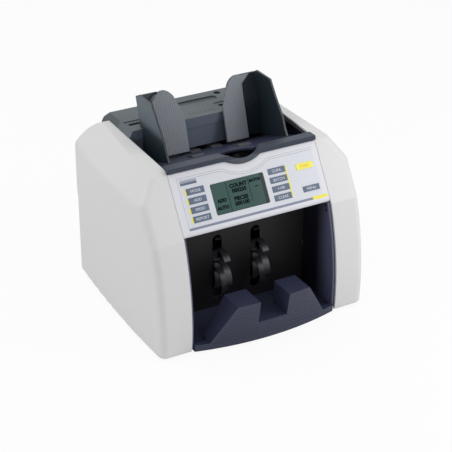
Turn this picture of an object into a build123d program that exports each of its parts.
"""Banknote counting machine, free standing, for a desk or a counter.

Frame: millimetres.  +X is the user's right, +Y the rear, +Z up.  The origin is the
centre of the footprint, on the surface that the machine stands on.

Notes lie in the hopper on top.  Rollers pick the lowest note, carry it round the
transport drum and drop it between the fins of two wheels, which stack it in the
pocket at the front.
"""

import os
from math import atan2, cos, degrees, pi, radians, sin, sqrt, tan

from build123d import *

os.makedirs("parts", exist_ok=True)

# ================================================================ driving sizes
# Casing
rear_y = 127.0              # the rear face
front_reach = 127.0         # the note rests reach this far forward
bay_half_width = 93.6       # half the clear width between the two side covers
cover_width = 38.9          # of one side cover, where it is widest
widest_half_width = bay_half_width + cover_width
widest_y = -50.0            # where along the depth the casing is widest
rear_taper = 9.2            # each side comes in by this much towards the rear
rear_half_width = widest_half_width - rear_taper
foot_height = 3.0
cover_wall = 2.5
rear_step = 2.5             # the lower rear lies this far in from the upper rear
rear_step_height = 108.0
front_edge_radius = 9.0
shoulder_radius = 12.0
crest_radius = 4.0
bottom_edge_radius = 4.0

# Side view of the casing, as (y, z)
front_foot = (-105.0, foot_height)
front_belly = (-106.3, 48.0)
panel_bottom = (-90.8, 135.2)
panel_top = (-49.0, 202.5)
top_rear = (rear_y - 35.0, 207.0)
rear_shoulder = (rear_y - 13.5, 193.5)
rear_upper = (rear_y, 163.0)

# Sloping facets along the top of each side cover: (rise per y, fall per x), and a point
crest_slopes, crest_point = (0.0355, 0.16), (bay_half_width, 0.0, 204.2)
facet_slopes, facet_point = (-0.0625, 1.458), (bay_half_width + 18.4, widest_y, 201.6)

# Side frames
frame_plate = 2.7
side_gap = 0.3              # between a side frame and what lies beside it
frame_inset = 3.0           # the frames' outline lies this far inside the casing's

# Screws
screw_radius = 2.0
screw_head = (3.5, 2.0)
screw_length = 8.0

# Base and feet
base_plate = 3.0
base_front = -98.5
foot_radius = 9.0
foot_recess = 1.5
foot_front, foot_rear = (bay_half_width + 6.4, -78.0), (bay_half_width + 1.4, rear_y - 29.0)
foot_places = [(side * x, y) for x, y in (foot_front, foot_rear) for side in (1, -1)]

# Control panel, with places as (across, down from the brow)
panel_wall = 2.5
panel_return = 14.0
panel_return_rise = 1.5
panel_edge_radius = 3.5
brow_line = 4.5             # the panel's upper edge lies this far down from panel_top
dip_radius = 40.0
dip_depth = 6.4
dip_blend = 12.0
brow_height = 5.5
brow_overhang = 3.5
fit_gap = 0.25              # around windows, keys and the brow

window_centre = (-14.2, 38.6)
window_size = (66.5, 34.3)
window_glass = 1.2
module_margin = 3.5
module_depth = 7.0

key_travel = 0.6
key_proud = 0.7
key_flange = 0.8
key_flange_margin = 0.9
key_stem = (6.0, 3.0)
dome_height = 0.7
dome_gap = 0.15
window_sink = 0.3
board_depth = 6.4           # from the panel's outer face to the keypad board
board_plate = 1.6
board_margin = 1.0
post_radius = 2.5
post_across = bay_half_width - 7.6
post_places = [(x, down) for down in (16.0, 58.0) for x in (-post_across, post_across)]
dome_radius = 2.2
key_rows = 4
key_columns = {             # side: (direction, gap to the window, width, height, first row, pitch)
    "left": (-1, 7.5, 21.6, 7.2, 23.4, 10.3),
    "right": (1, 6.5, 21.9, 6.9, 23.2, 10.1),
}
menu_keys = {}              # name: (across, down, width, height)
for column_name, (direction, gap, width, height, first_row, row_pitch) in key_columns.items():
    across = window_centre[0] + direction * (window_size[0] / 2 + gap + width / 2)
    for row in range(key_rows):
        name = f"{column_name}_key_{row + 1}"
        menu_keys[name] = (across, first_row + row * row_pitch, width, height)
side_keys = {               # at the right end of the panel: (gap, down, width, height)
    "start_key": (14.0, 25.5, 21.6, 7.0),
    "menu_key": (15.6, 51.5, 21.2, 6.5),
}
right_column_end = across + width / 2
for name, (gap, down, width, height) in side_keys.items():
    menu_keys[name] = (right_column_end + gap + width / 2, down, width, height)

# Hopper
floor_front = (-40.5, 200.9)
floor_rear = (39.0, 172.0)
floor_plate = 2.5
ledge_rear = -41.5
ledge_top = 205.0
scoop_radius = 20.0

# Top cover
cover_top = 213.0
cover_front = 40.5
cover_plate = 3.0
cover_rear_top = rear_y - 25.5
cover_shoulder = (rear_y - 9.0, 192.5)
cover_tail = 166.0
cover_bevel = (4.8, 7.0)    # across and down, along both sides
cover_lip_height = 176.0    # lower edge of the wall behind the notes
cover_step_height = 200.5
slot_y = 59.5
slot_width = 5.0
slot_reach = (31.0, bay_half_width - 8.6)
slot_land = 16.0             # width of the land round each slot
slot_land_margin = 3.0
slot_land_depth = 0.8
knob_place = (47.0, 92.5)
knob_radius = 4.0
knob_gap = 0.3
knob_sink = 1.6
carrier_half = bay_half_width - 8.6
carrier_span = (44.0, 84.0)
carrier_post_x = carrier_half - 4.0
carrier_posts = [(-carrier_post_x, 65.5), (carrier_post_x, 53.5)]
carrier_posts += [(-carrier_post_x, 80.0), (carrier_post_x, 80.0)]
groove = (82.5, 10.6, 81.0, 1.4)    # y, width, length, depth

# Note guides
guide_half_gap = 74.2       # inner face of each wing at rest
guide_out = 12.5            # outward travel
guide_in = 19.0             # inward travel
wing_plate = 2.5
guide_top = 251.5
pad_plane_y = 36.5          # front face of the pads, at cover_top
pad_lean = 0.3
pad_depth = 7.5
pad_shell = 2.4             # thickness of the pads' ribbed face
pad_core_inset = (5.0, 5.0)  # the core behind it keeps this far inside its edges, (x, z)
guide_back_inset = (6.0, 3.0)
guide_back = 2.2
guide_clear = 0.8           # between a guide and the top cover
tongue = (8.0, 2.2)
tongue_x = 66.0
pad_low = 179.5             # lower edge of the pads
wing_rear_low = 175.0       # lower edge of the wings and backs
wing_front = [              # front edge of a wing in side view, (y, z)
    (-22.5, 196.0),
    (-17.5, 203.0),
    (-11.5, 215.5),
    (4.5, 234.0),
    (17.5, guide_top),
]
wing_rear = (48.5, 245.5)   # top rear corner's y, and where the rear edge takes over
pad_inner = [(24.8, wing_rear_low), (24.6, 216.0), (33.4, 239.5), (38.0, 246.6), (45.5, 250.5)]
pad_outer = {               # the pads' outer edge, straight down below
    "left": [(62.0, 241.0), (50.5, 250.5)],
    "right": [(53.5, 240.5), (64.5, 250.5)],
}
back_corner = 240.0

# Rack and pinion under the top cover
gear_module = 1.0
pinion_teeth = 20
tooth_share = 0.42          # tooth width at the pitch line, as a share of the pitch
pressure_angle = 20.0
rack_height = 4.0
rack_back = 4.0
rack_base = 199.5
carrier_top = 199.2
carrier_plate = 2.7
rack_engagement = 11.5      # rack left beyond the pinion's centre at full travel
pinion_pin_radius = 2.5
running_gap = 0.08

# Gears that turn the stacker wheels against the transport drum
drive_module = 1.5
drive_teeth, stacker_teeth = 42, 56
drive_tooth_share = 0.42
gear_width = 6.0
gear_x = 20.8               # from the left frame's outer face
gear_addendum = 0.9         # tooth height above the pitch line, in modules
gear_dedendum = 1.2
gear_hub_radius = 10.0

# Shafts across the machine: (y, z, radius)
transport_place = (25.0, 110.0)
stacker_y = -30.0
gear_distance = drive_module * (drive_teeth + stacker_teeth) / 2
stacker_z = transport_place[1] - sqrt(gear_distance**2 - (transport_place[0] - stacker_y) ** 2)
shafts = {
    "pickup": (-4.0, 174.6, 4.0),
    "feed": (33.0, 159.5, 4.0),
    "transport": (*transport_place, 5.0),
    "pinch": (67.5, 110.0, 3.0),
    "stacker": (stacker_y, stacker_z, 4.0),
    "retard": (55.2, 176.8, 3.0),
}
rollers = {                 # shaft: (radius, width, places across)
    "pickup": (14.0, 16.0, [-30.0, 30.0]),
    "feed": (16.0, 14.0, [-42.0, -14.0, 14.0, 42.0]),
    "transport": (32.0, 18.0, [-56.0, -18.0, 18.0, 56.0]),
    "pinch": (9.0, 12.0, [-56.0, -18.0, 18.0, 56.0]),
    "retard": (11.0, 14.0, [-14.0, 14.0]),
}
roller_gap = 1.3            # around a roller that shows through a plate
bush_wall = 2.5
bush_flange = 1.5
shaft_end_gap = 0.4

# Stacker wheels
wheel_radius = 38.0
wheel_width = 8.0
wheel_x = 25.0
hub_radius = 10.0
fin_count = 8
fin_plate = 1.8
fin_sweep = 60.0

# Belt drives on the left: (shaft, y, z, pulley radius)
belt_width = 6.0
belt_plate = 1.5
belt_gap = 0.3
pulley_rim = 1.0
motor_place = (rear_y - 32.0, 42.0)
motor_radius = 21.0
motor_length = 58.0
motor_shaft_radius = 2.5
feed_belt_x = 3.0           # from the left frame's outer face
main_belt_x = 11.6
motor_pulley_radius = 8.0
main_pulley_radius = 16.0
feed_drive_radius = 12.0
feed_pulley_radius = 10.0
pickup_pulley_radius = 9.0

# Note gap adjuster
knob_depth = 7.0
knob_stem_radius = 2.0
arm_top = 184.0

# Note path and pocket
chute_radius = 35.0
chute_plate = 2.0
chute_gap = 1.6             # between the chute and the side frames' inner parts
chute_ear = 4.0
chute_ears = (42.0, -45.0)
chute_sector = (52.0, 20.0, -20.0, -60.0, -100.0)
foot_block = 4.7
pocket_back_y = -38.0
pocket_plate = 2.0
pocket_ceiling = 140.0
lip_sag = 13.0              # the front lip bows this far forward
lip_corner_y = -104.5
lip_height = 12.0
tray_floor = 9.0
rest_height = 57.0
rest_foot = bay_half_width - 19.6
rest_shoulder = 46.0
rest_notch = (37.0, 28.5)
rest_depth = 15.0

# Rear
rear_plate = 2.7
door_gap = 0.5
door_corner = (frame_plate + door_gap, 3.0)
door_top = rear_upper[1] + 1.8
hinge_radius = 2.2
hinge_y = rear_y - 2.3
hinge_z = rear_step_height + 1.7
hinge_places = [-68.0, 68.0]
pin_radius = 1.2
lug_width = 10.0
lug_notch = 3.6
knuckle_width = 8.0
screw_rows = (12.0, rear_step_height - 12.0)
rear_screws = [(x, z) for z in screw_rows for x in (-post_across, post_across)]
vent_centre, vent_pitch, vent_count = (0.0, 74.0), 7.0, 15
vent_length, vent_width = 26.0, 3.0
inlet_place = (58.0, 30.0)
inlet_size = (27.5, 20.0)
switch_place = (22.0, 30.0)
switch_size = (21.0, 15.0)
socket_place = (-30.0, 30.0)
socket_size = (31.0, 12.6)
socket_shell = (19.0, 10.5)
pin_row, pin_hole = 1.38, 0.5
inlet_depth = 18.0
switch_depth = 14.0
rocker_lean = 8.0
rocker_pivot = -2.0
rocker_rise = 3.6

# Electrics
board_stand = 5.0
board_centre, board_size = (14.0, 96.0), (120.0, 100.0)
board_chips = [             # (along, up, width, height, thickness)
    (-30.0, 20.0, 28.0, 28.0, 2.2),
    (10.0, 24.0, 18.0, 12.0, 1.6),
    (38.0, 28.0, 14.0, 20.0, 1.6),
    (-42.0, -26.0, 12.0, 26.0, 8.0),
    (-20.0, -36.0, 24.0, 8.0, 9.0),
    (16.0, -36.0, 30.0, 8.0, 9.0),
    (44.0, -18.0, 10.0, 34.0, 14.0),
]
supply_place = (54.0, rear_y - 49.0, 62.0, 40.0)
supply_stand = 6.0
supply_blocks = [           # (across, along, width, depth, height)
    (14.0, 2.0, 24.0, 22.0, 22.0),
    (-16.0, 12.0, 22.0, 3.0, 24.0),
    (-24.0, 4.0, 8.0, 8.0, 8.0),
]

# Derived planes and widths
flange_rear = panel_wall + fit_gap + key_flange    # below the panel's outer face
key_stem_length = board_depth - dome_height - dome_gap - key_travel - flange_rear
inner_half = bay_half_width - side_gap             # outer faces of the side frames
liner_half = inner_half - frame_plate              # inner faces of the side frames
bay_fit = liner_half - side_gap                    # half width of what lies between them
chute_half = bay_fit - chute_gap
beyond = 4 * rear_y                                # more than the machine's size
base_top = foot_height + base_plate
lower_rear = rear_y - rear_step

panel_run = Vector(0, panel_bottom[0] - panel_top[0], panel_bottom[1] - panel_top[1]).normalized()
panel_normal = Vector(1, 0, 0).cross(panel_run * -1)
brow_origin = Vector(0, *panel_top) + panel_run * brow_line
panel_face = Plane(origin=brow_origin, x_dir=(1, 0, 0), z_dir=panel_normal)


def finish(piece, name):
    """Label a finished piece and write it to its own file."""
    piece.label = name
    export_step(piece, f"parts/{name}.step")


# ================================================================ shared outlines
def side_outline(inset=0.0, x=-beyond):
    """Side view of the casing, moved in by inset, on the plane at x."""
    with BuildSketch(Plane.YZ.offset(x)) as outline:
        with BuildLine():
            ThreePointArc(front_foot, front_belly, panel_bottom)
            Polyline(panel_bottom, panel_top, top_rear)
            ThreePointArc(top_rear, rear_shoulder, rear_upper)
            Polyline(
                rear_upper,
                (rear_y, rear_step_height),
                (lower_rear, rear_step_height - rear_step),
                (lower_rear, foot_height),
                front_foot,
            )
        make_face()
        if inset:
            offset(amount=-inset, kind=Kind.INTERSECTION, mode=Mode.REPLACE)
    return outline.sketch


def plan_outline(inset=0.0):
    """Plan view of the casing, moved in by inset."""
    bulge = widest_half_width - rear_half_width
    radius = ((rear_y - widest_y) ** 2 + bulge**2) / (2 * bulge)
    front = front_foot[0] - 20
    front_x = widest_half_width - radius + sqrt(radius**2 - (front - widest_y) ** 2)
    with BuildSketch(Plane.XY) as outline:
        with BuildLine():
            right = ThreePointArc(
                (rear_half_width, rear_y), (widest_half_width, widest_y), (front_x, front)
            )
            left = ThreePointArc(
                (-front_x, front), (-widest_half_width, widest_y), (-rear_half_width, rear_y)
            )
            Line(right @ 1, left @ 0)
            Line(left @ 1, right @ 0)
        make_face()
        if inset:
            offset(amount=-inset, kind=Kind.INTERSECTION, mode=Mode.REPLACE)
    return outline.sketch


def facet_plane(side, slopes, point, inset):
    """Plane of a facet along the top of the side cover on one side (+1 or -1)."""
    along = Vector(0, 1, slopes[0]).normalized()
    across = Vector(side, 0, -slopes[1])
    normal = across.cross(along) * side
    normal = normal.normalized()
    origin = Vector(side * point[0], point[1], point[2]) - normal * inset
    return Plane(origin=origin, x_dir=along, z_dir=normal)


def casing(inset=0.0):
    """The casing as a full block, moved in by inset on every side."""
    with BuildPart() as block:
        extrude(side_outline(inset), amount=2 * beyond)
        extrude(plan_outline(inset), amount=beyond, mode=Mode.INTERSECT)
        for side in (1, -1):
            split(bisect_by=facet_plane(side, crest_slopes, crest_point, inset), keep=Keep.BOTTOM)
            split(bisect_by=facet_plane(side, facet_slopes, facet_point, inset), keep=Keep.BOTTOM)
    return block.part


def strip(points, name_x, width):
    """A closed (y, z) outline extruded along X from name_x."""
    with BuildPart() as piece:
        with BuildSketch(Plane.YZ.offset(name_x)):
            with BuildLine():
                Polyline(*points, close=True)
            make_face()
        extrude(amount=width)
    return piece.part


def frame_room():
    """What the two side frames need, with clearance, as a cutting tool."""
    with BuildPart() as room:
        for x in (-bay_half_width, bay_fit):
            extrude(side_outline(frame_inset - side_gap, x), amount=bay_half_width - bay_fit)
    return room.part


# ================================================================ side covers
def outside(block):
    """The edges of a casing block outside the side frames."""
    return [e for e in block.edges() if abs((e @ 0.5).X) > bay_half_width + 5]


def rounded_front(block, radius):
    """A casing block with its two front edges rounded."""
    front = [e for e in outside(block) if (e @ 0.5).Y < panel_top[0] - 0.5 and e.length > 3.0]
    front = [e for e in front if max((e @ 0).Z, (e @ 1).Z) > foot_height + cover_wall + 1]
    return block.fillet(radius, front)


def rounded_casing():
    """The casing with its long outer edges rounded."""
    depth, height = rear_y - front_foot[0], panel_top[1]
    block = casing()
    long_edges = [e for e in outside(block) if e.length > 0.65 * depth]
    block = block.fillet(shoulder_radius, [e for e in long_edges if (e @ 0.5).Z > height / 2])
    block = rounded_front(block, front_edge_radius)
    high_edges = [e for e in outside(block) if (e @ 0.5).Z > 0.96 * height]
    block = block.fillet(crest_radius, [e for e in high_edges if e.length > 0.4 * depth])
    low_edges = [e for e in outside(block) if (e @ 0.5).Z < foot_height + 0.1]
    return block.fillet(bottom_edge_radius, low_edges)


outer_block = rounded_casing()
inner_block = rounded_front(casing(cover_wall), front_edge_radius - cover_wall)
boss_limit = rounded_front(casing(cover_wall / 2), front_edge_radius - cover_wall / 2)
boss_places = [(-84.0, 22.0), (-45.0, 160.0), (rear_y - 42.0, 150.0), (rear_y - 27.0, 14.0)]
boss_radius = 4.0

with BuildPart() as floor_room:
    room_front, room_rear = front_foot[0] + cover_wall, lower_rear - cover_wall
    extrude(plan_outline(cover_wall), amount=base_top)
    with BuildSketch(Plane.XY):
        with Locations((0, (room_front + room_rear) / 2)):
            Rectangle(beyond, room_rear - room_front)
    extrude(amount=base_top, mode=Mode.INTERSECT)
    front_corners = floor_room.edges().filter_by(Axis.Z).sort_by(Axis.Y)[:2]
    fillet(front_corners, front_edge_radius - cover_wall)

for side, side_name in ((-1, "left"), (1, "right")):
    with BuildPart() as bosses:
        with BuildSketch(Plane.YZ.offset(side * bay_half_width)):
            with Locations(*boss_places):
                Circle(boss_radius)
        extrude(amount=side * widest_half_width / 2)
        add(boss_limit, mode=Mode.INTERSECT)
    with BuildPart() as side_cover:
        add(outer_block)
        add(inner_block, mode=Mode.SUBTRACT)
        add(floor_room.part, mode=Mode.SUBTRACT)
        split(
            bisect_by=Plane.YZ.offset(side * bay_half_width),
            keep=Keep.TOP if side > 0 else Keep.BOTTOM,
        )
        add(bosses.part)
    finish(side_cover.part, f"{side_name}_side_cover")


# ================================================================ frame and base
tray_gap = 0.5
with BuildPart() as base_tray:
    extrude(plan_outline(cover_wall + tray_gap), amount=base_top)
    with BuildSketch(Plane.XY):
        Rectangle(beyond, beyond)
    extrude(amount=foot_height, mode=Mode.SUBTRACT)
    base_rear = lower_rear - rear_plate - tray_gap
    with BuildSketch(Plane.XY):
        with Locations((0, (base_front + base_rear) / 2)):
            Rectangle(beyond, base_rear - base_front)
    extrude(amount=base_top, mode=Mode.INTERSECT)
    front_corners = base_tray.edges().filter_by(Axis.Z).sort_by(Axis.Y)[:2]
    fillet(front_corners, front_edge_radius - cover_wall - tray_gap)
    with BuildSketch(Plane.XY.offset(foot_height)):
        with Locations(*foot_places):
            Circle(foot_radius + side_gap)
    extrude(amount=foot_recess, mode=Mode.SUBTRACT)
finish(base_tray.part, "base_tray")

with BuildPart() as rubber_feet:
    with BuildSketch(Plane.XY):
        with Locations(*foot_places):
            Circle(foot_radius)
    extrude(amount=foot_height + foot_recess)
    chamfer(rubber_feet.faces().sort_by(Axis.Z)[0:4].edges(), 0.6)
finish(rubber_feet.part, "rubber_feet")

bars = [(rear_y - 11.0, rear_step_height - 24.0), (-28.0, 148.0), (42.0, 20.0)]
bar_radius = 4.0
sensor_places = [(-85.0, 131.5), (-86.0, 126.0)]
sensor_radius = 1.6
for side, side_name in ((-1, "left"), (1, "right")):
    start = liner_half if side > 0 else -inner_half
    with BuildPart() as side_frame:
        extrude(side_outline(frame_inset, start), amount=frame_plate)
        with BuildSketch(Plane.YZ.offset(start)):
            for y, z, radius in shafts.values():
                with Locations((y, z)):
                    Circle(radius + bush_wall)
            with Locations(*bars):
                Circle(screw_radius + running_gap)
            with Locations(*sensor_places):
                Circle(sensor_radius)
            if side < 0:
                with Locations(motor_place):
                    Circle(motor_pulley_radius + 2)
        extrude(amount=frame_plate, mode=Mode.SUBTRACT)
    finish(side_frame.part, f"{side_name}_side_frame")

with BuildPart() as cross_bars:
    with BuildSketch(Plane.YZ.offset(-liner_half)):
        with Locations(*bars):
            Circle(bar_radius)
    extrude(amount=2 * liner_half)
    with BuildSketch(Plane.YZ.offset(-liner_half)):
        with Locations(*bars):
            Circle(screw_radius)
    extrude(amount=2 * liner_half, mode=Mode.SUBTRACT)
finish(cross_bars.part, "cross_bars")

with BuildPart() as stack_sensors:
    for start, way in ((-liner_half, 1), (liner_half, -1)):
        with BuildSketch(Plane.YZ.offset(start - way * frame_plate)):
            with Locations(*sensor_places):
                Circle(sensor_radius)
        extrude(amount=way * (frame_plate + 1.5))
finish(stack_sensors.part, "stack_sensors")


# ================================================================ shafts and rollers
with BuildPart() as shaft_bushes:
    for side in (-1, 1):
        start = side * liner_half
        for y, z, radius in shafts.values():
            with BuildSketch(Plane.YZ.offset(start)):
                with Locations((y, z)):
                    Circle(radius + bush_wall)
                    Circle(radius + running_gap, mode=Mode.SUBTRACT)
            extrude(amount=side * frame_plate)
            with BuildSketch(Plane.YZ.offset(start)):
                with Locations((y, z)):
                    Circle(radius + bush_wall + 1.0)
                    Circle(radius + running_gap, mode=Mode.SUBTRACT)
            extrude(amount=-side * bush_flange)
finish(shaft_bushes.part, "shaft_bushes")


def pulley(place, radius, away):
    """A flanged pulley, solid to its axis, away from the left frame."""
    rim = radius + pulley_rim + belt_plate
    start = -inner_half - away
    tread = belt_width + 2 * belt_gap
    with BuildPart() as wheel:
        for step, size, thick in (
            (0.0, rim, pulley_rim),
            (pulley_rim, radius, tread),
            (pulley_rim + tread, rim, pulley_rim),
        ):
            with BuildSketch(Plane.YZ.offset(start - step)):
                with Locations(place):
                    Circle(size)
            extrude(amount=-thick)
    return wheel.part


def gear(place, teeth, facing, phase):
    """A spur gear whose tooth (phase 0) or gap (phase 0.5) lies at the angle facing."""
    step = pi * drive_module
    middle = drive_module * teeth / 2
    root = middle - gear_dedendum * drive_module
    tip = middle + gear_addendum * drive_module
    half = drive_tooth_share * step / 2
    slope = tan(radians(pressure_angle))
    with BuildSketch() as tooth:
        with BuildLine():
            Polyline(
                (root - 0.5, -half - (middle - root) * slope),
                (tip, -half + (tip - middle) * slope),
                (tip, half - (tip - middle) * slope),
                (root - 0.5, half + (middle - root) * slope),
                close=True,
            )
        make_face()
    with BuildPart() as wheel:
        with BuildSketch(Plane.YZ.offset(-inner_half - gear_x)):
            with Locations(place):
                Circle(root)
                with PolarLocations(0, teeth, start_angle=facing + phase * 360 / teeth):
                    add(tooth.sketch)
        extrude(amount=-gear_width)
        with BuildSketch(Plane.YZ.offset(-inner_half - gear_x)):
            with Locations(place):
                Circle(root - 3.0)
                Circle(gear_hub_radius, mode=Mode.SUBTRACT)
        extrude(amount=-gear_width / 3, mode=Mode.SUBTRACT)
    return wheel.part


def cross_shaft(name):
    """A steel shaft between the frames, with its pulleys outside the left frame."""
    y, z, radius = shafts[name]
    pulleys = driven.get(name, [])
    reach = max([away + pulley_width + shaft_end_gap for _, away in pulleys], default=0)
    if name in geared:
        reach = gear_x + gear_width + 2 * shaft_end_gap
    left = -inner_half + shaft_end_gap - reach
    right = inner_half - shaft_end_gap
    with BuildPart() as shaft:
        with BuildSketch(Plane.YZ.offset(left)):
            with Locations((y, z)):
                Circle(radius)
        extrude(amount=right - left)
        chamfer(shaft.edges().filter_by(GeomType.CIRCLE), 0.4)
        for pulley_radius, away in pulleys:
            add(pulley((y, z), pulley_radius, away))
        if name in geared:
            add(gear((y, z), *geared[name]))
        if name == "retard":
            add(gap_arm())
    finish(shaft.part, f"{name}_shaft")


def gap_arm():
    """Arm on the retard shaft that the adjuster's stem presses on."""
    y, z, _ = shafts["retard"]
    return strip(
        [
            (y - 4, z - 4),
            (y + 4, z - 4),
            (knob_place[1] + 4, arm_top - 4),
            (knob_place[1] + 4, arm_top),
            (y + 4, arm_top),
            (y - 4, arm_top - 3),
        ],
        knob_place[0] - 4,
        8.0,
    )


def roller_set(name):
    """The rollers on one shaft, each a ring pressed on it."""
    y, z, shaft_radius = shafts[name]
    radius, width, places = rollers[name]
    with BuildPart() as ring_set:
        for x in places:
            with BuildSketch(Plane.YZ.offset(x - width / 2)):
                with Locations((y, z)):
                    Circle(radius)
                    Circle(shaft_radius, mode=Mode.SUBTRACT)
            extrude(amount=width)
        chamfer(
            ring_set.edges().filter_by(GeomType.CIRCLE).filter_by(lambda e: e.radius > radius - 0.1),
            0.5,
        )
    finish(ring_set.part, f"{name}_rollers")


pulley_width = belt_width + 2 * belt_gap + 2 * pulley_rim
driven = {                  # shaft: [(pulley radius, distance from the left frame)]
    "transport": [(feed_drive_radius, feed_belt_x), (main_pulley_radius, main_belt_x)],
    "feed": [(feed_pulley_radius, feed_belt_x)],
    "pickup": [(pickup_pulley_radius, feed_belt_x)],
}
mesh_angle = degrees(atan2(stacker_z - transport_place[1], stacker_y - transport_place[0]))
geared = {                  # shaft: (teeth, angle towards its mate, tooth or gap there)
    "transport": (drive_teeth, mesh_angle, 0.0),
    "stacker": (stacker_teeth, mesh_angle + 180.0, 0.5),
}
for shaft_name in shafts:
    cross_shaft(shaft_name)
for shaft_name in rollers:
    roller_set(shaft_name)



def polar(radius, angle):
    """Point at a radius and an angle in degrees."""
    return (radius * cos(radians(angle)), radius * sin(radians(angle)))


with BuildSketch() as fin:
    fin_root = hub_radius - 1
    fin_middle = (hub_radius + wheel_radius) / 2
    with BuildLine():
        fin_face = ThreePointArc(
            polar(fin_root, 0), polar(fin_middle, 0.3 * fin_sweep), polar(wheel_radius, fin_sweep)
        )
        fin_rear = ThreePointArc(
            polar(wheel_radius, fin_sweep + degrees(fin_plate / wheel_radius)),
            polar(fin_middle, 0.3 * fin_sweep + degrees(fin_plate / fin_middle)),
            polar(fin_root, degrees(1.5 * fin_plate / fin_root)),
        )
        Line(fin_face @ 1, fin_rear @ 0)
        Line(fin_rear @ 1, fin_face @ 0)
    make_face()

with BuildPart() as stacker_wheels:
    wheel_y, wheel_z, wheel_shaft = shafts["stacker"]
    for x in (-wheel_x, wheel_x):
        start = Plane(origin=(x - wheel_width / 2, wheel_y, wheel_z), x_dir=(0, 1, 0), z_dir=(1, 0, 0))
        with BuildSketch(start):
            Circle(hub_radius)
            with PolarLocations(0, fin_count):
                add(fin.sketch)
            Circle(wheel_shaft, mode=Mode.SUBTRACT)
        extrude(amount=wheel_width)
finish(stacker_wheels.part, "stacker_wheels")


# ================================================================ drive
def belt_loop(wheels, away):
    """A flat belt round the given (place, radius) pulleys."""
    start = -inner_half - away - pulley_rim - belt_gap
    with BuildPart() as belt:
        for grow, mode in ((belt_gap + belt_plate, Mode.ADD), (belt_gap, Mode.SUBTRACT)):
            with BuildSketch(Plane.YZ.offset(start)):
                for place, radius in wheels:
                    with Locations(place):
                        Circle(radius + grow)
                make_hull()
            extrude(amount=-belt_width, mode=mode)
    return belt.part


main_loop = [
    (motor_place, motor_pulley_radius),
    (transport_place, main_pulley_radius),
]
feed_loop = [
    (transport_place, feed_drive_radius),
    (shafts["feed"][:2], feed_pulley_radius),
    (shafts["pickup"][:2], pickup_pulley_radius),
]
with BuildPart() as drive_belts:
    add(belt_loop(main_loop, main_belt_x))
    add(belt_loop(feed_loop, feed_belt_x))
finish(drive_belts.part, "drive_belts")

with BuildPart() as main_motor:
    with BuildSketch(Plane.YZ.offset(-liner_half)):
        with Locations(motor_place):
            Circle(motor_radius)
    extrude(amount=motor_length)
    chamfer(main_motor.edges().filter_by(GeomType.CIRCLE), 1.5)
    with BuildSketch(Plane.YZ.offset(-liner_half + motor_length)):
        with Locations(motor_place):
            Circle(motor_radius / 3)
    extrude(amount=4.0)
    with BuildSketch(Plane.YZ.offset(-liner_half)):
        with Locations(motor_place):
            Circle(motor_shaft_radius + running_gap)
    extrude(amount=motor_length, mode=Mode.SUBTRACT)
finish(main_motor.part, "main_motor")

with BuildPart() as motor_shaft:
    with BuildSketch(Plane.YZ.offset(-liner_half + motor_length - 2)):
        with Locations(motor_place):
            Circle(motor_shaft_radius)
    extrude(amount=-(motor_length - 2 + frame_plate + main_belt_x + pulley_width + 2))
    add(pulley(motor_place, motor_pulley_radius, main_belt_x))
finish(motor_shaft.part, "motor_shaft")


# ================================================================ control panel
def brow(grow=0.0, half_width=inner_half):
    """Region above the panel's upper edge, with the finger dip, on the panel's face."""
    middle = dip_radius - dip_depth
    reach = dip_radius + grow
    half = sqrt(reach**2 - (middle + grow) ** 2)
    with BuildSketch() as region:
        with Locations((0, dip_radius / 2 - grow)):
            Rectangle(2 * half_width, dip_radius)
        with Locations((0, middle)):
            Circle(reach)
        corners = [
            v for v in region.vertices() if abs(v.Y + grow) < 0.01 and abs(abs(v.X) - half) < 0.1
        ]
        fillet(corners, dip_blend)
    return region.sketch


def on_panel(across, down, height=0.0):
    """A plane on the control panel's outer face, turned with it."""
    origin = panel_face.from_local_coords(Vector(across, -down, height))
    return Plane(origin=origin, x_dir=(1, 0, 0), z_dir=panel_normal)


panel_corner = Vector(0, *panel_bottom)
panel_inside = panel_normal * -panel_wall
brow_point = Vector(0, *panel_top)
back_edge = panel_bottom[0] + panel_return
under = panel_bottom[1] + panel_return_rise
inside_level = under + panel_wall
inside_step = (panel_corner.Z + panel_inside.Z - inside_level) / panel_run.Z
inside_corner = panel_corner + panel_inside - panel_run * inside_step
panel_section = [
    (brow_point.Y, brow_point.Z),
    panel_bottom,
    (back_edge, under),
    (back_edge, inside_level),
    (inside_corner.Y, inside_level),
    ((brow_point + panel_inside).Y, (brow_point + panel_inside).Z),
]
with BuildPart() as control_panel:
    add(strip(panel_section, -inner_half, 2 * inner_half))
    lower_edge = control_panel.edges().filter_by(Axis.X).sort_by(Axis.Y)[0]
    fillet(lower_edge, panel_edge_radius)
    extrude(on_panel(0, 0, 12) * brow(fit_gap, bay_half_width), amount=-40, mode=Mode.SUBTRACT)
    with BuildSketch(on_panel(*window_centre)):
        RectangleRounded(window_size[0] + 2 * fit_gap, window_size[1] + 2 * fit_gap, 1.5 + fit_gap)
    extrude(amount=-panel_wall, mode=Mode.SUBTRACT)
    for across, down, width, height in menu_keys.values():
        with BuildSketch(on_panel(across, down)):
            Rectangle(width + 2 * fit_gap, height + 2 * fit_gap)
        extrude(amount=-panel_wall, mode=Mode.SUBTRACT)
    add(frame_room(), mode=Mode.SUBTRACT)
    for place in post_places:
        with BuildSketch(on_panel(*place, -panel_wall)):
            Circle(post_radius)
        extrude(amount=-(board_depth - panel_wall))
finish(control_panel.part, "control_panel")


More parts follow.
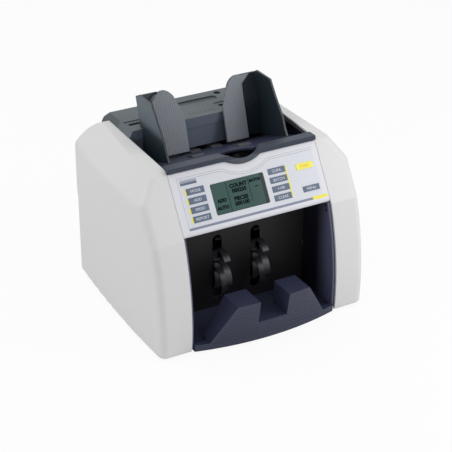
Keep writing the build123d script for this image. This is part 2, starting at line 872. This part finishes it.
# ---------------------------------------------------------------- keys and display
for key_name, (across, down, width, height) in menu_keys.items():
    with BuildPart() as key:
        with BuildSketch(on_panel(across, down, key_proud)):
            Rectangle(width, height)
        extrude(amount=-(key_proud + panel_wall + fit_gap + key_flange))
        chamfer(key.faces().sort_by(lambda f: f.center().dot(panel_normal))[-1].edges(), 0.3)
        with BuildSketch(on_panel(across, down, -panel_wall - fit_gap)):
            Rectangle(width + 2 * key_flange_margin, height + 2 * key_flange_margin)
        extrude(amount=-key_flange)
        with BuildSketch(on_panel(across, down, -panel_wall - fit_gap - key_flange)):
            Rectangle(*key_stem)
        extrude(amount=-key_stem_length)
    finish(key.part, key_name)

with BuildPart() as display_window:
    with BuildSketch(on_panel(*window_centre, -window_sink)):
        RectangleRounded(*window_size, 1.5)
    extrude(amount=-window_glass)
finish(display_window.part, "display_window")

module_front = window_sink + window_glass
module_size = (window_size[0] + 2 * module_margin, window_size[1] + 2 * module_margin)
with BuildPart() as display_module:
    with BuildSketch(on_panel(*window_centre, -module_front)):
        Rectangle(window_size[0] - 1, window_size[1] - 1)
    extrude(amount=-(panel_wall - module_front))
    with BuildSketch(on_panel(*window_centre, -panel_wall)):
        Rectangle(*module_size)
    extrude(amount=-module_depth)
finish(display_module.part, "display_module")

board_middle = (post_places[0][1] + post_places[-1][1]) / 2
board_half = post_places[-1][1] - board_middle + post_radius + board_margin
with BuildPart() as keypad_board:
    with BuildSketch(on_panel(0, board_middle, -board_depth)):
        Rectangle(2 * (post_places[1][0] + post_radius + board_margin), 2 * board_half)
    extrude(amount=-board_plate)
    with BuildSketch(on_panel(*window_centre, 0)):
        Rectangle(module_size[0] + 1, module_size[1] + 1)
    extrude(amount=-4 * board_depth, mode=Mode.SUBTRACT)
    for across, down, _, _ in menu_keys.values():
        with BuildSketch(on_panel(across, down, -board_depth)):
            Circle(dome_radius)
        extrude(amount=dome_height)
finish(keypad_board.part, "keypad_board")


# ================================================================ hopper
with BuildPart() as front_ledge:
    shelf_under = ledge_top - cover_plate
    lip_low = brow_origin + panel_normal * brow_overhang
    add(
        strip(
            [
                (brow_origin.Y, brow_origin.Z),
                (lip_low.Y, lip_low.Z),
                (lip_low.Y + 1.2, ledge_top),
                (ledge_rear, ledge_top),
                (ledge_rear, shelf_under),
                (brow_origin.Y + 4.0, shelf_under),
            ],
            -inner_half,
            2 * inner_half,
        )
    )
    extrude(on_panel(0, 0, brow_overhang) * brow(), amount=-(brow_overhang + panel_wall))
    with BuildSketch(Plane.XY.offset(ledge_top)):
        Rectangle(beyond, beyond)
    extrude(amount=60, mode=Mode.SUBTRACT)
    with BuildSketch(on_panel(0, dip_depth - dip_radius, 20)):
        Circle(dip_radius - brow_height)
    extrude(amount=-60, mode=Mode.SUBTRACT)
finish(front_ledge.part, "front_ledge")

with BuildPart() as hopper_floor:
    floor_slope = (floor_rear[1] - floor_front[1]) / (floor_rear[0] - floor_front[0])
    down = floor_plate * sqrt(1 + floor_slope**2)
    add(
        strip(
            [
                floor_front,
                floor_rear,
                (floor_rear[0] - 1.0, floor_rear[1] - down),
                (floor_front[0], floor_front[1] - down),
            ],
            -bay_fit,
            2 * bay_fit,
        )
    )
    for name in ("pickup", "feed"):
        y, z, _ = shafts[name]
        radius, width, places = rollers[name]
        for x in places:
            with BuildSketch(Plane.YZ.offset(x - width / 2 - roller_gap)):
                with Locations((y, z)):
                    Circle(radius + roller_gap)
            extrude(amount=width + 2 * roller_gap, mode=Mode.SUBTRACT)
    with BuildSketch(Plane.XY):
        with Locations((0, floor_front[0])):
            Circle(scoop_radius)
    extrude(amount=cover_top, mode=Mode.SUBTRACT)
finish(hopper_floor.part, "hopper_floor")


# ================================================================ top cover
cover_tail_point = (rear_y, cover_tail)
with BuildPart() as top_cover:
    with BuildSketch(Plane.YZ.offset(-inner_half)):
        with BuildLine():
            Polyline(
                (cover_tail_point[0] - 40, cover_tail),
                (cover_front, cover_tail),
                (cover_front, cover_top),
                (cover_rear_top, cover_top),
            )
            ThreePointArc((cover_rear_top, cover_top), cover_shoulder, cover_tail_point)
            Line(cover_tail_point, (cover_tail_point[0] - 40, cover_tail))
        make_face()
    extrude(amount=2 * inner_half)
    for side in (-1, 1):
        edge = Vector(side * (inner_half - cover_bevel[0]), 0, cover_top)
        slope = Vector(side * cover_bevel[1], 0, cover_bevel[0]).normalized()
        split(bisect_by=Plane(origin=edge, x_dir=(0, 1, 0), z_dir=slope), keep=Keep.BOTTOM)
    extrude(side_outline(frame_inset - side_gap), amount=2 * beyond, mode=Mode.SUBTRACT)
    inside = inner_half - cover_bevel[0] - cover_plate
    with BuildSketch(Plane.YZ.offset(-inside)):
        with BuildLine():
            Polyline(
                (cover_tail_point[0] - 40, cover_tail - 5),
                (cover_front + cover_plate, cover_tail - 5),
                (cover_front + cover_plate, cover_top - cover_plate),
                (cover_rear_top - 1.0, cover_top - cover_plate),
            )
            ThreePointArc(
                (cover_rear_top - 1.0, cover_top - cover_plate),
                (cover_shoulder[0] - 2.2, cover_shoulder[1] - 2.2),
                (cover_tail_point[0] - cover_plate, cover_tail - 5),
            )
            Line(
                (cover_tail_point[0] - cover_plate, cover_tail - 5),
                (cover_tail_point[0] - 40, cover_tail - 5),
            )
        make_face()
    extrude(amount=2 * inside, mode=Mode.SUBTRACT)
    # wall behind the notes, stepped back below its lip
    with BuildSketch(Plane.XZ.offset(-cover_front - cover_plate)):
        with Locations((0, (cover_lip_height + cover_top - 1) / 2)):
            Rectangle(2 * bay_fit, cover_top - 1 - cover_lip_height)
    extrude(amount=cover_plate)
    with BuildSketch(Plane.XZ.offset(-cover_front - 0.8)):
        with Locations((0, (cover_lip_height + cover_step_height) / 2)):
            Rectangle(2 * bay_fit, cover_step_height - cover_lip_height)
    extrude(amount=0.8, mode=Mode.SUBTRACT)
    # guide slots with their shallow lands
    slot_middle = (slot_reach[0] + slot_reach[1]) / 2
    for side in (-1, 1):
        with BuildSketch(Plane.XY.offset(cover_top)):
            with Locations((side * slot_middle, slot_y)):
                Rectangle(slot_reach[1] - slot_reach[0] + 2 * slot_land_margin, slot_land)
        extrude(amount=-slot_land_depth, mode=Mode.SUBTRACT)
        with BuildSketch(Plane.XY.offset(cover_top)):
            with Locations((side * slot_middle, slot_y)):
                SlotOverall(slot_reach[1] - slot_reach[0], slot_width)
        extrude(amount=-2 * cover_plate, mode=Mode.SUBTRACT)
    groove_y, groove_width, groove_length, groove_depth = groove
    with BuildSketch(Plane.XY.offset(cover_top)):
        with Locations((0, groove_y)):
            RectangleRounded(groove_length, groove_width, groove_width / 2 - 1)
    extrude(amount=-groove_depth, mode=Mode.SUBTRACT)
    with BuildSketch(Plane.XY.offset(cover_top)):
        with Locations(knob_place):
            Circle(knob_radius + knob_gap)
    extrude(amount=-2 * cover_plate, mode=Mode.SUBTRACT)
    # posts that carry the guide mechanism
    with BuildSketch(Plane.XY.offset(cover_top - cover_plate)):
        with Locations(*carrier_posts):
            Circle(post_radius)
    extrude(amount=-(cover_top - cover_plate - carrier_top))
finish(top_cover.part, "top_cover")


# ================================================================ note guides
def guide_plane_y(z):
    """Front face of the guide pads at height z."""
    return pad_plane_y + pad_lean * (z - cover_top)


guide_low = cover_top + guide_clear
guide_rear_low = cover_front - guide_clear
back_offset = pad_depth + guide_back
pad_top = pad_inner[-1][1]
wing_outline = [
    *wing_front,
    (wing_rear[0], guide_top),
    (guide_plane_y(wing_rear[1]) + back_offset, wing_rear[1]),
    (guide_plane_y(guide_low) + back_offset, guide_low),
    (guide_rear_low, guide_low),
    (guide_rear_low, wing_rear_low),
]
shelf_top = guide_low + guide_back
back_outline = [
    (guide_rear_low - guide_back, wing_rear_low + 2),
    (guide_rear_low - guide_back, shelf_top),
    (guide_plane_y(shelf_top) + pad_depth, shelf_top),
    (guide_plane_y(pad_top) + pad_depth, pad_top),
    (guide_plane_y(pad_top) + back_offset, pad_top),
    (guide_plane_y(guide_low) + back_offset, guide_low),
    (guide_rear_low, guide_low),
    (guide_rear_low, wing_rear_low + 2),
]
shell_outline = [
    (guide_plane_y(pad_low), pad_low),
    (guide_plane_y(pad_top), pad_top),
    (guide_plane_y(pad_top) + pad_shell, pad_top),
    (guide_plane_y(pad_low) + pad_shell, pad_low),
]
core_outline = [
    (guide_plane_y(pad_low), pad_low),
    (guide_plane_y(pad_top), pad_top),
    (guide_plane_y(pad_top) + pad_depth, pad_top),
    (guide_plane_y(shelf_top) + pad_depth, shelf_top),
    (guide_rear_low, guide_low),
    (guide_rear_low, pad_low),
]


def guide_face(outer_edge):
    """Front view of a guide's pad or back, from its inner edge to the points given."""
    with BuildSketch(Plane.XZ) as face:
        with BuildLine():
            low, shoulder, upper, bend, top = pad_inner
            Polyline(top, *reversed(outer_edge), (outer_edge[0][0], wing_rear_low), low, shoulder, upper)
            ThreePointArc(upper, bend, top)
        make_face()
    return face.sketch


def guide_layer(outer_edge, side_view, inset=None):
    """A guide's front view cut by its side view, held back from its inner and upper edges."""
    face = guide_face(outer_edge)
    with BuildPart() as layer:
        extrude(face, amount=-beyond)
        if inset:
            extrude(Pos(inset[0], 0, -inset[1]) * face, amount=-beyond, mode=Mode.INTERSECT)
        add(strip(side_view, 0, guide_half_gap + wing_plate), mode=Mode.INTERSECT)
    return layer.part


for side, side_name in ((-1, "left"), (1, "right")):
    outer_edge = guide_half_gap + wing_plate
    back_outer = [(outer_edge, back_corner), (outer_edge, pad_top)]
    with BuildPart() as guide:
        add(guide_layer(pad_outer[side_name], shell_outline))
        add(guide_layer(pad_outer[side_name], core_outline, pad_core_inset))
        add(guide_layer(back_outer, back_outline, guide_back_inset))
        add(strip(wing_outline, guide_half_gap, wing_plate))
        with BuildSketch(Plane.XY.offset(guide_low)):
            foot_rear = slot_y + tongue[1] / 2
            foot_front = guide_plane_y(guide_low) + back_offset - 1
            with Locations((tongue_x, (foot_front + foot_rear) / 2)):
                Rectangle(tongue[0], foot_rear - foot_front)
        extrude(amount=foot_block)
        with BuildSketch(Plane.XY.offset(guide_low + 1)):
            with Locations((tongue_x, slot_y)):
                Rectangle(*tongue)
        extrude(amount=-(guide_low + 1 - rack_base - rack_height))
    piece = guide.part if side > 0 else guide.part.mirror(Plane.YZ)
    finish(piece, f"{side_name}_guide")

pitch = pi * gear_module
pitch_radius = gear_module * pinion_teeth / 2
tooth_half = tooth_share * pitch / 2
flank = tan(radians(pressure_angle))
addendum, dedendum = gear_module, 1.25 * gear_module
rack_end = guide_out + rack_engagement
with BuildPart() as rack:
    line = slot_y - pitch_radius
    root = line - dedendum
    with BuildSketch(Plane.XY.offset(rack_base)):
        with Locations(((rack_end - tongue_x - tongue[0] / 2) / 2, root - rack_back / 2)):
            Rectangle(rack_end + tongue_x + tongue[0] / 2, rack_back)
        with Locations((-tongue_x, (root - rack_back + slot_y + tongue[1] / 2) / 2)):
            Rectangle(tongue[0], slot_y + tongue[1] / 2 - root + rack_back)
        inner_teeth = int((guide_in + rack_engagement) / pitch) + 1
        for index in range(-inner_teeth, int(rack_end / pitch)):
            middle = (index + 0.5) * pitch
            with BuildLine():
                Polyline(
                    (middle - tooth_half - dedendum * flank, root - 0.2),
                    (middle - tooth_half + addendum * flank, line + addendum),
                    (middle + tooth_half - addendum * flank, line + addendum),
                    (middle + tooth_half + dedendum * flank, root - 0.2),
                    close=True,
                )
            make_face()
    extrude(amount=rack_height)
finish(rack.part, "left_guide_rack")
finish(rack.part.rotate(Axis((0, slot_y, 0), (0, 0, 1)), 180), "right_guide_rack")

with BuildPart() as guide_pinion:
    with BuildSketch(Plane(origin=(0, slot_y, rack_base), x_dir=(0, 1, 0), z_dir=(0, 0, 1))):
        Circle(pitch_radius - dedendum)
        with BuildSketch(mode=Mode.PRIVATE) as tooth:
            with BuildLine():
                Polyline(
                    (pitch_radius - dedendum - 0.3, -tooth_half - dedendum * flank),
                    (pitch_radius + addendum, -tooth_half + addendum * flank),
                    (pitch_radius + addendum, tooth_half - addendum * flank),
                    (pitch_radius - dedendum - 0.3, tooth_half + dedendum * flank),
                    close=True,
                )
            make_face()
        with PolarLocations(0, pinion_teeth):
            add(tooth.sketch)
        Circle(pinion_pin_radius + running_gap, mode=Mode.SUBTRACT)
    extrude(amount=rack_height)
finish(guide_pinion.part, "guide_pinion")

with BuildPart() as guide_carrier:
    with BuildSketch(Plane.XY.offset(carrier_top)):
        with Locations((0, (carrier_span[0] + carrier_span[1]) / 2)):
            Rectangle(2 * carrier_half, carrier_span[1] - carrier_span[0])
    extrude(amount=-carrier_plate)
    with BuildSketch(Plane.XY.offset(carrier_top)):
        with Locations((0, slot_y)):
            Circle(pinion_pin_radius)
    extrude(amount=rack_base - carrier_top + rack_height + 2.0)
finish(guide_carrier.part, "guide_carrier")


# ---------------------------------------------------------------- note gap adjuster
with BuildPart() as gap_knob:
    with BuildSketch(Plane.XY.offset(cover_top - knob_sink)):
        with Locations(knob_place):
            Circle(knob_radius)
    extrude(amount=knob_sink - knob_depth)
    chamfer(gap_knob.faces().sort_by(Axis.Z)[-1].edges(), 0.4)
    with BuildSketch(Plane.XY.offset(cover_top - knob_sink)):
        with Locations(knob_place):
            Rectangle(1.2, 5.5)
    extrude(amount=-1.2, mode=Mode.SUBTRACT)
    with BuildSketch(Plane.XY.offset(cover_top - knob_depth)):
        with Locations(knob_place):
            Circle(knob_stem_radius)
    extrude(amount=-(cover_top - knob_depth - arm_top))
finish(gap_knob.part, "gap_knob")


# ================================================================ note path and pocket
transport_y, transport_z = transport_place
with BuildPart() as note_chute:
    with BuildSketch(Plane.YZ.offset(-chute_half)):
        with Locations((transport_y, transport_z)):
            Circle(chute_radius + chute_plate)
            Circle(chute_radius, mode=Mode.SUBTRACT)
        with BuildLine():
            Polyline(
                (transport_y, transport_z),
                *[
                    (transport_y + 80 * cos(radians(a)), transport_z + 80 * sin(radians(a)))
                    for a in chute_sector
                ],
                close=True,
            )
        make_face(mode=Mode.INTERSECT)
    extrude(amount=2 * chute_half)
    pinch_y, pinch_z, _ = shafts["pinch"]
    pinch_radius, pinch_width, pinch_places = rollers["pinch"]
    for x in pinch_places:
        with BuildSketch(Plane.YZ.offset(x - pinch_width / 2 - roller_gap)):
            with Locations((pinch_y, pinch_z)):
                Circle(pinch_radius + roller_gap)
        extrude(amount=pinch_width + 2 * roller_gap, mode=Mode.SUBTRACT)
    for angle in chute_ears:
        ear = Plane(
            origin=(0, transport_y, transport_z), x_dir=(0, cos(radians(angle)), sin(radians(angle))),
            z_dir=(1, 0, 0),
        )
        for start in (-bay_fit, bay_fit - chute_ear):
            with BuildSketch(ear.offset(start)):
                with Locations((chute_radius + chute_plate / 2 + 1.0, 0)):
                    Rectangle(chute_plate + 2.0, 9.0)
            extrude(amount=chute_ear)
finish(note_chute.part, "note_chute")

with BuildPart() as pocket_back:
    plate_front, plate_rear = pocket_back_y, pocket_back_y + pocket_plate
    ceiling_front = back_edge + 2.5
    add(
        strip(
            [
                (plate_front, base_top),
                (plate_rear, base_top),
                (plate_rear, pocket_ceiling + pocket_plate),
                (ceiling_front, pocket_ceiling + pocket_plate),
                (ceiling_front, pocket_ceiling),
                (plate_front, pocket_ceiling),
            ],
            -bay_fit,
            2 * bay_fit,
        )
    )
    reach = sqrt(wheel_radius**2 - (wheel_y - plate_front) ** 2) + 3.0
    with BuildSketch(Plane.XZ.offset(-plate_rear - 5)):
        with Locations((-wheel_x, wheel_z), (wheel_x, wheel_z)):
            SlotOverall(2 * reach, wheel_width + 4.0, rotation=90)
    extrude(amount=20, mode=Mode.SUBTRACT)
    for side in (-1, 1):
        with BuildSketch(Plane.YZ.offset(side * (bay_fit - 2.0))):
            with Locations((wheel_y, wheel_z)):
                Circle(wheel_shaft + bush_wall + 2.0)
        extrude(amount=side * 5.0, mode=Mode.SUBTRACT)
finish(pocket_back.part, "pocket_back")

lip_radius = (bay_half_width**2 + lip_sag**2) / (2 * lip_sag)
lip_front = lip_corner_y - lip_sag
notch_sag = (rest_notch[0] / 2) ** 2 / (2 * lip_radius)
lip_lean = degrees(atan2(front_reach + lip_front + notch_sag, rest_height - foot_height))
with BuildPart() as lip_limit:
    with BuildSketch(Plane.XY.offset(foot_height)):
        with BuildLine():
            bow = ThreePointArc(
                (-bay_half_width, lip_corner_y), (0, lip_front), (bay_half_width, lip_corner_y)
            )
            Polyline(bow @ 1, (bay_half_width, 0), (-bay_half_width, 0), bow @ 0)
        make_face()
    extrude(amount=rest_height - foot_height, taper=-lip_lean)

with BuildPart() as stacker_tray:
    # floor with its front lip
    with BuildSketch(Plane.XY.offset(foot_height)):
        with Locations((0, (lip_front - 10 + pocket_back_y - side_gap) / 2)):
            Rectangle(2 * bay_fit, pocket_back_y - side_gap - lip_front + 10)
    extrude(amount=lip_height - foot_height)
    with BuildSketch(Plane.XY.offset(foot_height)):
        with Locations((0, base_front - side_gap + beyond / 2)):
            Rectangle(2 * bay_half_width, beyond)
    extrude(amount=base_plate, mode=Mode.SUBTRACT)
    with BuildSketch(Plane.XY.offset(tray_floor)):
        with Locations((0, lip_corner_y + 2.5 + 60)):
            Rectangle(2 * bay_fit, 120)
    extrude(amount=20, mode=Mode.SUBTRACT)
    # note rests, as one trapezium with a notch
    with BuildSketch(Plane.XZ.offset(-(lip_corner_y - 3 + rest_depth))):
        with BuildLine():
            Polyline(
                (-rest_foot, foot_height + base_plate),
                (-rest_foot, lip_height),
                (-rest_shoulder, rest_height),
                (rest_shoulder, rest_height),
                (rest_foot, lip_height),
                (rest_foot, foot_height + base_plate),
                close=True,
            )
        make_face()
        with Locations((0, rest_notch[1] + 50)):
            Rectangle(rest_notch[0], 100, mode=Mode.SUBTRACT)
    extrude(amount=60)
    add(lip_limit.part, mode=Mode.INTERSECT)
finish(stacker_tray.part, "stacker_tray")


# ================================================================ rear
rear_top = rear_step_height - rear_step - 0.3
rear_face = Plane(origin=(0, lower_rear, 0), x_dir=(-1, 0, 0), z_dir=(0, 1, 0))


def rear_place(place, out=0.0):
    """A plane on the lower rear face at (x, z), seen from behind."""
    return Plane(origin=(place[0], lower_rear + out, place[1]), x_dir=(-1, 0, 0), z_dir=(0, 1, 0))


with BuildPart() as rear_panel:
    with BuildSketch(rear_place((0, (foot_height + rear_top) / 2))):
        Rectangle(2 * inner_half, rear_top - foot_height)
    extrude(amount=-rear_plate)
    for place, size in ((inlet_place, inlet_size), (switch_place, switch_size)):
        with BuildSketch(rear_place(place)):
            Rectangle(size[0] + 2 * fit_gap, size[1] + 2 * fit_gap)
        extrude(amount=-rear_plate, mode=Mode.SUBTRACT)
    with BuildSketch(rear_place(socket_place)):
        Rectangle(socket_shell[0] + 2 * fit_gap, socket_shell[1] + 2 * fit_gap)
    extrude(amount=-rear_plate, mode=Mode.SUBTRACT)
    with BuildSketch(rear_place(vent_centre)):
        with GridLocations(vent_pitch, 0, vent_count, 1):
            SlotOverall(vent_length, vent_width, rotation=90)
    extrude(amount=-rear_plate, mode=Mode.SUBTRACT)
    with BuildSketch(rear_face):
        with Locations(*[(-x, z) for x, z in rear_screws]):
            Circle(screw_radius)
    extrude(amount=-rear_plate, mode=Mode.SUBTRACT)
    # hinge lugs for the rear door
    for x in hinge_places:
        with BuildSketch(Plane.YZ.offset(x - lug_width / 2)):
            with Locations((hinge_y, hinge_z)):
                Circle(hinge_radius)
            with Locations(((lower_rear - rear_plate + hinge_y) / 2 + 0.1, (rear_top + hinge_z) / 2)):
                Rectangle(hinge_y - lower_rear + rear_plate, hinge_z - rear_top + 2)
            with Locations((hinge_y, hinge_z)):
                Circle(pin_radius + running_gap, mode=Mode.SUBTRACT)
        extrude(amount=lug_width)
finish(rear_panel.part, "rear_panel")

door_low = hinge_z - 1.8
with BuildPart() as rear_door:
    with BuildSketch(Plane.XZ.offset(-rear_y)):
        with Locations((0, (door_low + door_top) / 2)):
            Rectangle(2 * (inner_half - door_gap), door_top - door_low)
        for x in hinge_places:
            with Locations((x, hinge_z)):
                Rectangle(lug_width + 2 * door_gap, 2 * lug_notch, mode=Mode.SUBTRACT)
        # corners that would meet the side frames as the door swings
        for side in (-1, 1):
            with Locations((side * inner_half, door_low)):
                Rectangle(2 * door_corner[0], 2 * door_corner[1], mode=Mode.SUBTRACT)
    extrude(amount=rear_plate)
    with BuildSketch(Plane.XZ.offset(-rear_y)):
        with Locations((0, door_top - 9)):
            SlotOverall(34.0, 9.0)
    extrude(amount=0.9, mode=Mode.SUBTRACT)
    for x in hinge_places:
        for way in (-1, 1):
            with BuildSketch(Plane.YZ.offset(x + way * (lug_width / 2 + door_gap))):
                with Locations((hinge_y, hinge_z)):
                    Circle(hinge_radius)
            extrude(amount=way * knuckle_width)
        with BuildSketch(Plane.YZ.offset(x - lug_width / 2 - door_gap)):
            with Locations((hinge_y, hinge_z)):
                Circle(pin_radius)
        extrude(amount=lug_width + 2 * door_gap)
finish(rear_door.part, "rear_door")


def screw(place):
    """A pan-head screw with a cross recess; place is a plane facing the driver."""
    with BuildPart() as pan_head:
        with BuildSketch(place):
            Circle(screw_radius)
        extrude(amount=-screw_length)
        with BuildSketch(place):
            Circle(screw_head[0])
        extrude(amount=screw_head[1], taper=18)
        with BuildSketch(place.offset(screw_head[1])):
            Rectangle(3.6, 0.8)
            Rectangle(0.8, 3.6)
        extrude(amount=-screw_head[1] / 2, mode=Mode.SUBTRACT)
    return pan_head.part


with BuildPart() as screws:
    for side in (-1, 1):
        for y, z in bars:
            add(screw(Plane(origin=(side * inner_half, y, z), x_dir=(0, 1, 0), z_dir=(side, 0, 0))))
    for place in rear_screws:
        add(screw(rear_place(place)))
finish(screws.part, "screws")

with BuildPart() as mains_inlet:
    with BuildSketch(rear_place(inlet_place)):
        RectangleRounded(inlet_size[0] + 5, inlet_size[1] + 5, 2.5)
    extrude(amount=2.0)
    with BuildSketch(rear_place(inlet_place)):
        Rectangle(*inlet_size)
    extrude(amount=-inlet_depth)
    with BuildSketch(rear_place(inlet_place, 2.0)):
        Rectangle(inlet_size[0] - 3.5, inlet_size[1] - 4.0)
    extrude(amount=-(inlet_depth - 1.0), mode=Mode.SUBTRACT)
    with BuildSketch(rear_place(inlet_place, -inlet_depth + 2.5)):
        for across, up in ((-7.0, -1.5), (0.0, 3.0), (7.0, -1.5)):
            with Locations((across, up)):
                Rectangle(2.0, 4.0)
    extrude(amount=inlet_depth - 5.0)
finish(mains_inlet.part, "mains_inlet")

with BuildPart() as switch_housing:
    with BuildSketch(rear_place(switch_place)):
        RectangleRounded(switch_size[0] + 3, switch_size[1] + 3, 1.5)
    extrude(amount=1.5)
    with BuildSketch(rear_place(switch_place)):
        Rectangle(*switch_size)
    extrude(amount=-switch_depth)
    with BuildSketch(rear_place(switch_place, 1.5)):
        Rectangle(switch_size[0] - 3.0, switch_size[1] - 3.0)
    extrude(amount=-(switch_depth - 1.0), mode=Mode.SUBTRACT)
    for way in (-1, 1):
        start = switch_place[0] + way * (switch_size[0] - 3.0) / 2
        with BuildSketch(Plane.YZ.offset(start)):
            with Locations((lower_rear + rocker_pivot, switch_place[1])):
                Circle(pin_radius)
        extrude(amount=-way * 1.5)
finish(switch_housing.part, "switch_housing")

with BuildPart() as power_rocker:
    rocker_width = switch_size[0] - 3.0 - 2 * door_gap
    rocker_half = switch_size[1] / 2 - 2.1
    with BuildSketch(Plane.YZ.offset(switch_place[0] - rocker_width / 2)):
        with BuildLine():
            Polyline((-2.0, 2.6), (-2.0, -2.6), (rocker_rise, -rocker_half))
            ThreePointArc((rocker_rise, -rocker_half), (rocker_rise - 0.9, 0), (rocker_rise, rocker_half))
            Line((rocker_rise, rocker_half), (-2.0, 2.6))
        make_face()
        Circle(pin_radius + running_gap, mode=Mode.SUBTRACT)
    extrude(amount=rocker_width)
rocker_home = Location((0, lower_rear + rocker_pivot, switch_place[1])) * Location(
    (0, 0, 0), (1, 0, 0), rocker_lean
)
finish(power_rocker.part.moved(rocker_home), "power_rocker")

with BuildPart() as service_socket:
    with BuildSketch(rear_place(socket_place)):
        RectangleRounded(*socket_size, 1.2)
    extrude(amount=0.9)
    with BuildSketch(rear_place(socket_place)):
        Rectangle(*socket_shell)
    extrude(amount=-8.0)
    with BuildSketch(rear_place(socket_place, 0.9)):
        RectangleRounded(socket_shell[0] - 1.6, socket_shell[1] - 1.2, 2.4)
    extrude(amount=1.2)
    with BuildSketch(rear_place(socket_place, 2.1)):
        for row, count in ((pin_row, 5), (-pin_row, 4)):
            with Locations((0, row)):
                with GridLocations(2 * pin_row, 0, count, 1):
                    Circle(pin_hole)
    extrude(amount=-3.0, mode=Mode.SUBTRACT)
finish(service_socket.part, "service_socket")


# ================================================================ electrics
board_x = inner_half + board_stand
with BuildPart() as main_board:
    with BuildSketch(Plane.YZ.offset(board_x)):
        with Locations(board_centre):
            Rectangle(*board_size)
    extrude(amount=board_plate)
    for across, up, width, height, tall in board_chips:
        with BuildSketch(Plane.YZ.offset(board_x + board_plate)):
            with Locations((board_centre[0] + across, board_centre[1] + up)):
                Rectangle(width, height)
        extrude(amount=tall)
    with BuildSketch(Plane.YZ.offset(board_x + board_plate)):
        with Locations(board_centre):
            with GridLocations(9.0, 0, 3, 1):
                Circle(3.5)
    extrude(amount=9.0)
    with BuildSketch(Plane.YZ.offset(inner_half)):
        with Locations(board_centre):
            with GridLocations(board_size[0] - 10, board_size[1] - 10, 2, 2):
                Circle(2.5)
    extrude(amount=board_stand)
finish(main_board.part, "main_board")

with BuildPart() as power_supply:
    supply_x, supply_y, supply_width, supply_depth = supply_place
    supply_z = base_top + supply_stand
    with BuildSketch(Plane.XY.offset(supply_z)):
        with Locations((supply_x, supply_y)):
            Rectangle(supply_width, supply_depth)
    extrude(amount=board_plate)
    with BuildSketch(Plane.XY.offset(base_top)):
        with Locations((supply_x, supply_y)):
            with GridLocations(supply_width - 8, supply_depth - 8, 2, 2):
                Circle(2.5)
    extrude(amount=supply_stand)
    for across, along, width, depth, tall in supply_blocks:
        with BuildSketch(Plane.XY.offset(supply_z + board_plate)):
            with Locations((supply_x + across, supply_y + along)):
                Rectangle(width, depth)
        extrude(amount=tall)
    with BuildSketch(Plane.XY.offset(supply_z + board_plate)):
        with Locations((supply_x - 20, supply_y - 10), (supply_x - 6, supply_y - 10)):
            Circle(5.5)
    extrude(amount=22.0)
finish(power_supply.part, "power_supply")
